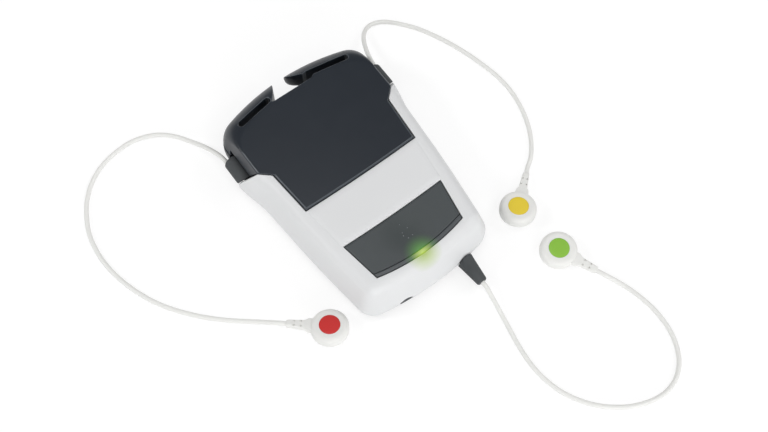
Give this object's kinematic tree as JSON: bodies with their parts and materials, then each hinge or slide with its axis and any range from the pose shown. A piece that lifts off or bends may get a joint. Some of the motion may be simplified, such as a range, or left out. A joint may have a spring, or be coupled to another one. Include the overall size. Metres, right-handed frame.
{
  "type": "holter monitor",
  "caption": "Body-worn heart recorder: white and slate shells, wide event key, sliding battery cover with two strap hooks, and fixed leads ending in round snap clips.",
  "frame": {"origin": "on the back face, under the middle of the body's outline", "axes": "+X across the face to the right, +Y along the face up to the strap hooks, +Z out of the face"},
  "size_m": [0.1587, 0.1874, 0.0194],
  "materials": {
    "slate_plastic": "satin",
    "white_plastic": "satin",
    "smoked_plastic": "satin",
    "guide_plastic": "gloss",
    "dark_rubber": "matt",
    "lead_rubber": "satin",
    "board": "satin",
    "chip": "matt",
    "steel": "plated",
    "cell_can": "printed sleeve",
    "led_lens": "clear",
    "red_disc": "satin",
    "yellow_disc": "satin",
    "green_disc": "satin"
  },
  "bodies": {
    "body": {"rear_housing": "slate_plastic", "front_shell": "white_plastic", "light_guide": "guide_plastic", "circuit_board": "board", "processor_chip": "chip", "amplifier_chip": "chip", "memory_chip": "chip", "key_switch": "chip", "status_led": "led_lens", "data_socket": "steel", "board_screw_upper": "steel", "board_screw_lower": "steel", "battery_cell": "cell_can", "plate_contact": "steel", "spring_plate": "steel", "spring_contact": "steel", "left_sleeve": "dark_rubber", "right_sleeve": "dark_rubber", "lead_boot": "dark_rubber", "port_plug": "dark_rubber", "left_inner_lead": "lead_rubber", "right_inner_lead": "lead_rubber", "lower_inner_lead": "lead_rubber", "housing_screw_upper_left": "steel", "housing_screw_lower_left": "steel", "housing_screw_upper_right": "steel", "housing_screw_lower_right": "steel", "red_lead": "lead_rubber", "red_clip": "lead_rubber", "red_disc": "red_disc", "red_snap": "steel", "yellow_lead": "lead_rubber", "yellow_clip": "lead_rubber", "yellow_disc": "yellow_disc", "yellow_snap": "steel", "green_lead": "lead_rubber", "green_clip": "lead_rubber", "green_disc": "green_disc", "green_snap": "steel"},
    "cover": {"battery_cover": "slate_plastic"},
    "key": {"event_key": "smoked_plastic", "switch_stem": "steel"}
  },
  "joints": [
    {"name": "battery_cover_slide", "type": "slide", "parent": "body", "child": "cover", "axis": [0, 1, 0], "range_m": [0, 0.05]},
    {"name": "event_key_press", "type": "hinge", "parent": "body", "child": "key", "pos_m": [0, -0.0222, 0.0179], "axis": [1, 0, 0], "range_deg": [0, 2.5], "stiffness_Nm_per_rad": 0.6, "springref_deg": -1.15}
  ]
}
